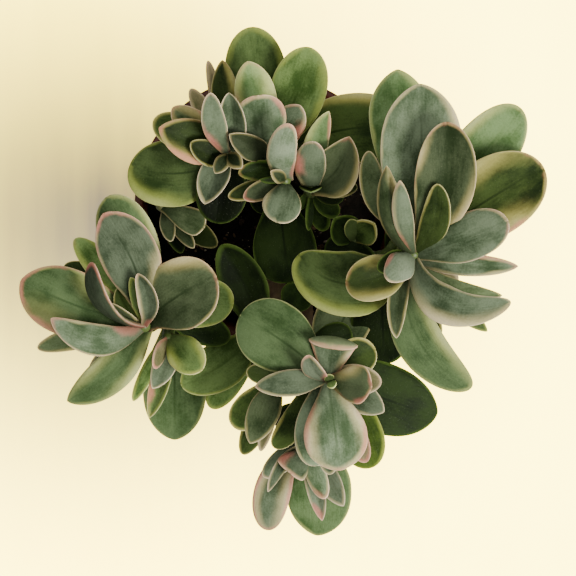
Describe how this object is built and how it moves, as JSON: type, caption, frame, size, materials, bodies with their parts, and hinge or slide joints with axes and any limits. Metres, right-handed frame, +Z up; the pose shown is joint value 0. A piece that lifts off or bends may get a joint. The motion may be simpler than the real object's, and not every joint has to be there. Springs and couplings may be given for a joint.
{
  "type": "potted jade plant",
  "caption": "Small tapered nursery pot filled with potting mix, holding a bushy succulent whose leaning stems carry thick spoon-shaped leaves with pale margins.",
  "frame": {"origin": "centre of the pot's flat base, on the surface it stands on", "axes": "+Z up along the pot's axis, +Y towards the upper edge of the top view in the picture, +X to its right"},
  "size_m": [0.2035, 0.197, 0.1915],
  "materials": {
    "pot": "satin",
    "soil": "matte",
    "leaf": "satin"
  },
  "bodies": {
    "root": {"pot": "pot", "soil": "soil", "stem_top": "leaf", "stem_north_west": "leaf", "stem_north_east": "leaf", "stem_right": "leaf", "stem_left": "leaf", "stem_rim": "leaf", "stem_mid": "leaf", "stem_bottom": "leaf", "stem_low": "leaf"}
  },
  "joints": []
}
